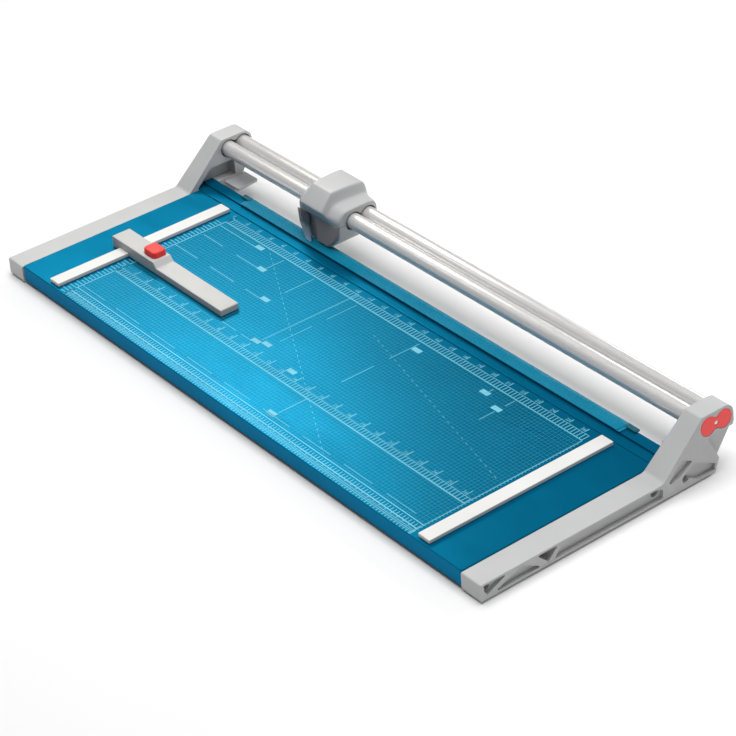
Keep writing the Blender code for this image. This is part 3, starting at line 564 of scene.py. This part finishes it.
def hood():
    """The light hood: a raised ridge with a blunt nose, flaring down into a collar round the tubes."""
    x, half = head_middle()
    stations = hood_stations(half)
    places = [0, 8, 16, 17.0, 17.4, 17.8, 18.2, 18.7, 19.4, 20.2, 21.2, 22.5, 24, 25.5, 27, 29, 31, 33, 35]
    places += [37.0, half - 2.6, half - 1.8, half - 1.1]
    ends = [(half - 0.6, 0.08), (half - 0.25, 0.25), (half - 0.06, 0.5), (half, 0.8)]
    rings = []
    for place, inwards in [(p, 0.0) for p in places] + ends:
        line = rounded_line(between(stations, place))
        rings.append((place, inset(line, inwards) if inwards else line))
    mirrored = [(-place, line) for place, line in reversed(rings[1:])] + rings
    solid = []
    for place, line in mirrored:
        fade = 1.0 - share(abs(place), SHOULDER_SIDE, half - 3.4)
        ring = []
        for y, z in line:
            wide = NOSE_WIDENING * share(y, 127, 111) + REAR_WIDENING * share(y, 131, 177)
            lift = share(z, SPLIT, SPLIT + 12)
            ring.append((x + place * (1 + wide * fade * lift), y + DATUM, z))
        solid.append(ring)
    mesh = cut(loft("hood", solid), [tunnel_cutter(half, x), disc_cutter(x)])
    smooth(mesh, 40)
    obj = add("moulded_hood", mesh, "cutter_head", "frame_grey")
    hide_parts("head_hood")
    soften(obj, 0.35, 2, 50.0)


def rounded_plan(half, front, back, corner, steps=6):
    """A rectangle in plan with round corners, as (x, y)."""
    points = []
    for cx, cy, start in (
        (half - corner, back - corner, 0), (-half + corner, back - corner, 90),
        (-half + corner, front + corner, 180), (half - corner, front + corner, 270),
    ):
        for i in range(steps + 1):
            a = radians(start + 90 * i / steps)
            points.append((cx + corner * cos(a), cy + corner * sin(a)))
    return points


def shell_rings(x, half):
    """The lower shell's outlines, from its narrow foot up to the seam."""
    base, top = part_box("blade_housing")[0].z / MM, SPLIT - SEAM
    levels = [  # height, half width, front, back and corner radius
        (base, 21.5, 118.3, 161.0, 6.0), (base + 0.5, 22.8, 117.3, 162.4, 6.2),
        (base + 1.6, 24.6, 116.8, 164.0, 6.4), (36.0, 31.4, 117.3, 168.4, 6.5),
        (43.0, 37.2, 118.1, 172.6, 6.5), (50.0, 40.2, 118.8, 176.4, 6.0),
        (57.0, half, 119.5, 179.4, 5.6), (top, half, 120.0, 181.1, 5.6),
    ]
    rings = []
    for z, wide, front, back, corner in levels:
        rings.append([(x + u, v + DATUM, z) for u, v in rounded_plan(wide, front, back, corner)])
    return rings


def corner_cutter(x):
    """The front left corner, where the guard stands in front of the blade."""
    below, above = 20.0, SPLIT - SEAM - 0.9
    outside, side = x - 60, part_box("blade_guard")[1].x / MM + 2.2
    outline = [(outside, below), (side + 6, below), (side, above), (outside, above)]
    return loft("corner", [[(u, y + DATUM, v) for u, v in outline] for y in (105.0, 121.8)])


def pad_cutter():
    """The slot in the shell's foot that holds the pressure pad."""
    low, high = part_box("pressure_pad")
    left, right = low.x / MM - 0.4, high.x / MM + 0.4
    below, above = low.z / MM - 2, high.z / MM + 0.4
    outline = [(left, below), (right, below), (right, above), (left, above)]
    return loft("pad", [[(u, y, v) for u, v in outline] for y in (low.y / MM - 0.3, high.y / MM + 0.3)])


def lower_shell():
    """The lower shell round the blade: light sides and back with a dark cover across the front."""
    x, half = head_middle()
    cutters = [tunnel_cutter(half, x), disc_cutter(x), corner_cutter(x), pad_cutter()]
    mesh = cut(loft("shell", shell_rings(x, half)), cutters)
    smooth(mesh, 40)
    obj = add("moulded_lower_shell", mesh, "cutter_head", "housing_grey")
    mesh.materials.append(MATERIALS["frame_grey"])
    low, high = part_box("blade_housing")
    for face in mesh.polygons:
        level = abs(face.normal.z) > 0.9
        cover = face.normal.y < -0.55 or level and face.center.y > (low.y + high.y) / 2
        within = abs(face.center.x / MM - x) < half - 6 and face.center.y / MM > 122
        inside = within and face.normal.z > -0.3 and face.normal.y < 0.5
        face.material_index = 0 if cover or inside else 1
    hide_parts("blade_housing")
    soften(obj, 0.35, 2, 50.0)


def smoked_guard():
    """The guard's clear plastic: smoky above; the paler blue towards its foot is painted light from the blue
    table.
    """
    made = Surface("smoked_guard", 0.12)
    parts = made.node("SeparateXYZ")
    made.link(made.place, parts.inputs["Vector"])
    low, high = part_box("blade_guard")
    height = made.span(parts.outputs["Z"], 0.0, 1.0, low.z, high.z)
    # painted light: the pale blue stops low down stand in for the lit blue table seen in the guard
    colors = [(0.0, (0.42, 0.55, 0.72, 1)), (0.38, (0.22, 0.30, 0.36, 1)), (0.6, (0.10, 0.11, 0.12, 1))]
    made.link(made.ramp(height, colors + [(1.0, (0.13, 0.13, 0.14, 1))]), made.shader.inputs["Base Color"])
    made.roughness(made.noise(120.0, 5.0), 0.08, 0.2)
    made.bump(made.noise(600.0, 2.0), 0.000004)
    made.shader.inputs["Alpha"].default_value = 0.72
    return made.material


# The table's print

GRID_X = (-333.0, 338.0)
GRID_Y = (-179.0, 66.0)
PITCH = 5.0  # of the pale grid and of the rulers' long lines
INCH = 25.4
REAR_RULER = (66.3, 77.5)
MIDDLE_RULER = (-102.3, -92.4)
FRONT_RULER = (-167.4, -161.0)


def print_heights():
    """The print's lower and upper face: it is bedded in the table's top."""
    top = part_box("table")[1].z / MM
    return top - 0.03, top + 0.05


class Print:
    """Printed lines on the table, each a thin slab; places are in millimetres."""

    def __init__(self):
        self.bm = bmesh.new()
        self.z = print_heights()

    def across(self, y, x, width=0.45):
        slab(self.bm, x, (y - width / 2, y + width / 2), self.z)

    def along(self, x, y, width=0.45):
        slab(self.bm, (x - width / 2, x + width / 2), y, self.z)

    def patch(self, x, y):
        slab(self.bm, x, y, self.z)

    def dashes(self, y, x, on, off, width=0.6):
        at = x[0]
        while at < x[1]:
            self.across(y, (at, min(at + on, x[1])), width)
            at += on + off

    def slanted(self, start, end, on, off, width=0.6):
        """A dashed line between two points."""
        dx, dy = end[0] - start[0], end[1] - start[1]
        length = hypot(dx, dy)
        ux, uy = dx / length, dy / length
        nx, ny = -uy * width / 2, ux * width / 2
        at = 0.0
        low, high = self.z
        while at < length:
            to = min(at + on, length)
            a = (start[0] + ux * at, start[1] + uy * at)
            b = (start[0] + ux * to, start[1] + uy * to)
            corners = [(a[0] - nx, a[1] - ny), (b[0] - nx, b[1] - ny)]
            corners += [(b[0] + nx, b[1] + ny), (a[0] + nx, a[1] + ny)]
            rings = [[self.bm.verts.new((x * MM, y * MM, z * MM)) for x, y in corners] for z in (low, high)]
            self.bm.faces.new(rings[0][::-1])
            self.bm.faces.new(rings[1])
            for i in range(4):
                j = (i + 1) % 4
                self.bm.faces.new((rings[0][i], rings[0][j], rings[1][j], rings[1][i]))
            at += on + off

    def finish(self, name, material):
        mesh = bpy.data.meshes.new(name)
        self.bm.to_mesh(mesh)
        self.bm.free()
        return add(name, mesh, "base", "table_blue", material)


def rulers():
    """Three rulers along the table, one down its left side, and the grid's outer lines."""
    ink = Print()
    left, right = GRID_X
    for y, width in (
        (REAR_RULER[0], 1.3), (REAR_RULER[1], 0.7),
        (MIDDLE_RULER[0], 1.5), (MIDDLE_RULER[1], 0.7),
        (-158.2, 1.2), (FRONT_RULER[0], 1.6),
    ):
        ink.across(y, GRID_X, width)
    for i in range(int((right - left) / PITCH) + 1):
        x = left + PITCH * i
        ink.along(x, REAR_RULER, 1.0)
        ink.along(x, MIDDLE_RULER, 1.0)
        ink.along(x, FRONT_RULER, 0.9)
        ink.along(x, (-178.6, -170.0 if i % 2 else -168.0), 1.0)
        ink.along(x + PITCH / 2, (-176.0, -170.0), 0.7)
    for i in range(int((right - left) / INCH) + 1):
        x = left + INCH * i
        ink.along(x, (79.5, 86.5), 1.1)
        ink.along(x, (-91.5, -80.5), 1.1)
    for i in range(48):
        y = 60.0 - PITCH * i
        ink.across(y, (-343.5 if i % 2 else -347.0, -334.6), 0.9)
        ink.across(y - PITCH / 2, (right, right + 3.0), 0.6)
    ink.along(left, (GRID_Y[0], 86.0), 1.2)
    ink.along(right + 0.6, GRID_Y, 0.9)
    ink.finish("printed_rulers", INK)


def numbers():
    """Plain numerals beside the long lines of two rulers, counting from 0."""
    low, high = print_heights()
    parts = bmesh.new()
    count = int((GRID_X[1] - GRID_X[0]) / INCH) + 1
    for i in range(count):
        for y in (80.0, -90.5):
            curve = bpy.data.curves.new("numeral", "FONT")
            curve.body = str(i)
            curve.size = 6.5 * MM
            curve.extrude = (high - low) / 2 * MM
            curve.align_x = "RIGHT"
            curve.resolution_u = 2
            text = bpy.data.objects.new("numeral", curve)
            bpy.context.scene.collection.objects.link(text)
            text.location = ((GRID_X[0] + INCH * i - 1.2) * MM, y * MM, (low + high) / 2 * MM)
            bpy.context.view_layer.update()
            glyph = text.evaluated_get(bpy.context.evaluated_depsgraph_get()).to_mesh()
            glyph.transform(text.matrix_world)
            parts.from_mesh(glyph)
            bpy.data.objects.remove(text, do_unlink=True)
    mesh = bpy.data.meshes.new("printed_numbers")
    parts.to_mesh(mesh)
    parts.free()
    add("printed_numbers", mesh, "base", "table_blue", INK)


def format_lines():
    """Corner marks of the standard sheet sizes, centre lines and the dashed angle lines."""
    ink = Print()
    for y, spans in (
        (56.0, ((-331, -257),)),
        (27.7, ((-327, -286), (-257, -211))),
        (-12.3, ((-333, -284), (-257, -207), (-183, -151))),
    ):
        for span in spans:
            ink.across(y, span, 0.8)
    for x, spans in (
        (-204.0, ((34, 62),)),
        (-142.3, ((17, 62),)),
        (-75.7, ((-66, 79),)),
        (-58.0, ((17, 62), (-53, -5))),
        (61.0, ((17, 62), (-53, -6), (-143, -103))),
        (228.6, ((49, 64), (11, 34))),
        (194.0, ((50, 62),)),
    ):
        for span in spans:
            ink.along(x, span, 0.8)
    ink.dashes(-76.0, (-143, -83), 29, 11)
    ink.dashes(-151.0, (-333, 338), 50, 25)
    ink.slanted((8.6, 35.0), (331.0, -49.0), 5, 7, 0.5)
    ink.slanted((-241.0, 66.0), (160.0, -155.0), 5, 7, 0.5)
    for x, y in (
        (-250, 59), (-207, 30), (-147, -9), (-79, -72), (-64, -67),
        (56, -149), (226, 39), (69.5, 51), (192, 51), (3, -81),
    ):
        ink.patch((x - 7, x + 7), (y - 3.5, y + 3.5))
    ink.finish("printed_formats", INK)


def fine_grid():
    """The pale square grid inside the rulers."""
    ink = Print()
    hairline = 0.22
    x = GRID_X[0] + PITCH
    while x < GRID_X[1]:
        ink.along(x, (-158.0, GRID_Y[1]), hairline)
        x += PITCH
    y = -155.0
    while y < GRID_Y[1]:
        ink.across(y, GRID_X, hairline)
        y += PITCH
    ink.finish("printed_grid", moulded_plastic("grid_ink", (0.03, 0.36, 0.48), 0.45))


# The nodes that keep their CAD shape

EDGES = {  # width of the rounded edges
    "left_end_frame": 0.35,
    "right_end_frame": 0.35,
    "table": 1.0,
    "rear_bar": 0.25,
    "left_stop_bar": 0.5,
    "right_stop_bar": 0.5,
    "backstop_arm": 0.5,
    "release_button": 0.5,
    "round_blade": 0,
}
SMALL_EDGE = 0.15
UNMERGED = ("table", "rear_bar")  # sheet and bar with many holes, whose faces would merge badly
REBUILT = ("front_guide_tube", "rear_guide_tube", "head_hood", "blade_housing", "blade_guard")
REBUILT += ("left_end_plug", "right_end_plug", "clamp_clip_left", "clamp_clip_right")
REBUILT += ("lift_spring_left", "lift_spring_right", "button_spring")


def copies():
    for node in sorted(set(frame["nodes"]) - set(REBUILT)):
        fine_copy(node, EDGES.get(node, SMALL_EDGE), merge=node not in UNMERGED)


def springs():
    """The springs stand at their pressed length, clear of the piece that comes down on them."""
    for joint in frame["record"]["behaviour"]["joints"]:
        for spring in joint.get("deforming_nodes", ()):
            obj = fine_copy(spring["node"], 0)
            foot = spring["fixed_end_z_m"]
            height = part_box(spring["node"])[1].z - foot
            pressed = (height + joint["range_m"][0]) / height
            for vertex in obj.data.vertices:
                vertex.co.z = foot + (vertex.co.z - foot) * pressed


def plugs_and_clips():
    # painted light: the plugs' red is a brighter copy of the button's red, standing in for more light on
    # their outward faces
    red = moulded_plastic("plug_red_painted_light", (1.0, 0.078, 0.072), 0.4, variation=0.06, gloss=0.3)
    for side in ("left", "right"):
        fine_copy(side + "_end_plug", 0.5, 3, material=red)
    teal = moulded_plastic("clip_teal", (0.006, 0.10, 0.15), 0.4)
    for side in ("left", "right"):
        fine_copy("clamp_clip_" + side, 0.2, material=teal)


bpy.context.scene.view_settings.view_transform = "Standard"
floor()
lights()
camera()
tubes()
copies()
springs()
hood()
lower_shell()
fine_copy("blade_guard", 0.3, material=smoked_guard())
plugs_and_clips()
rulers()
numbers()
format_lines()
fine_grid()
